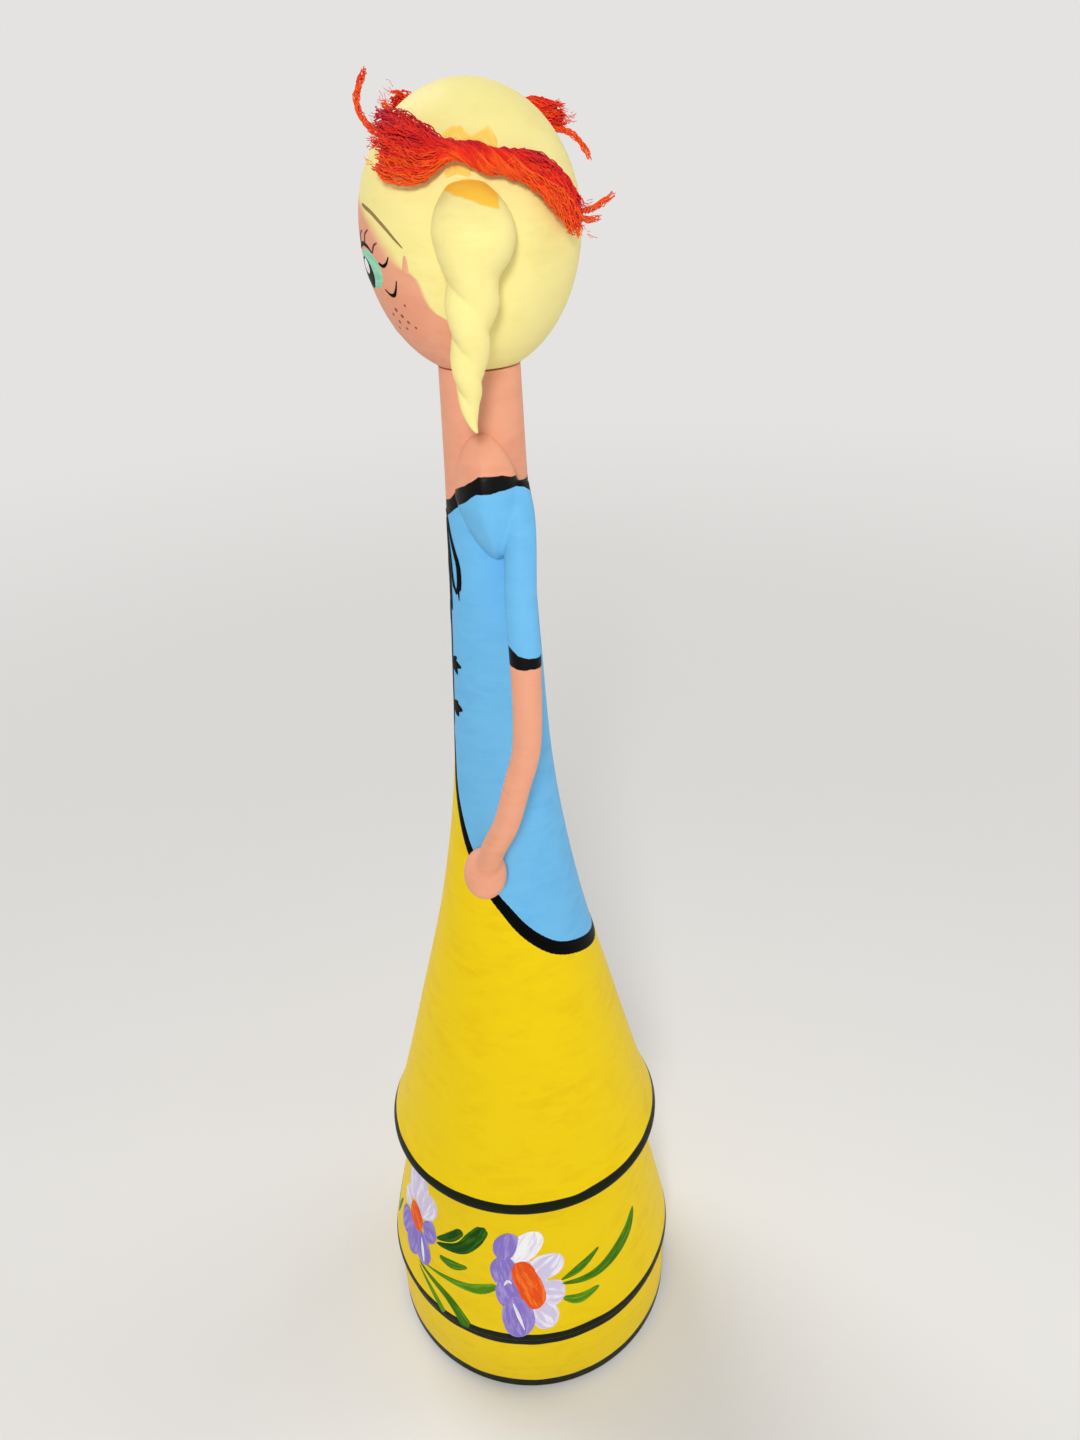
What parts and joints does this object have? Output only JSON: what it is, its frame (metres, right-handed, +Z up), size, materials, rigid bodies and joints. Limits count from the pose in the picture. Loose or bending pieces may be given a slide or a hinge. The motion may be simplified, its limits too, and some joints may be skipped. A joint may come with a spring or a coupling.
{
  "type": "wooden folk doll",
  "caption": "Tall turned wooden folk doll with a tiered painted skirt, glued arms, hands on the hips, yarn bows on its plaits, and an egg-shaped head that turns on a peg.",
  "frame": {"origin": "middle of the foot's underside", "axes": "+Z up along the turning axis, -Y towards the face, +X towards the doll's left arm"},
  "size_m": [0.061, 0.061, 0.2403],
  "materials": {
    "yellow_paint": "satin acrylic paint over turned wood",
    "sky_blue_paint": "satin acrylic paint over turned wood",
    "straw_hair_paint": "satin acrylic paint over wood",
    "skin_paint": "satin acrylic paint over wood",
    "bare_wood": "bare sanded wood",
    "red_yarn": "fuzzy red-orange yarn"
  },
  "bodies": {
    "stand": {"foot_disc": "yellow_paint", "petticoat_tier": "yellow_paint", "body": "sky_blue_paint", "centre_dowel": "bare_wood", "neck_peg": "bare_wood", "left_arm": "skin_paint", "right_arm": "skin_paint", "left_arm_pin": "bare_wood", "right_arm_pin": "bare_wood"},
    "turning_head": {"head": "straw_hair_paint", "left_plait": "straw_hair_paint", "right_plait": "straw_hair_paint", "left_plait_pin": "bare_wood", "right_plait_pin": "bare_wood", "left_bow": "red_yarn", "right_bow": "red_yarn"}
  },
  "joints": [
    {"name": "head_turn", "type": "hinge", "parent": "stand", "child": "turning_head", "pos_m": [0, 0, 0.2055], "axis": [0, 0, 1], "continuous": true}
  ]
}
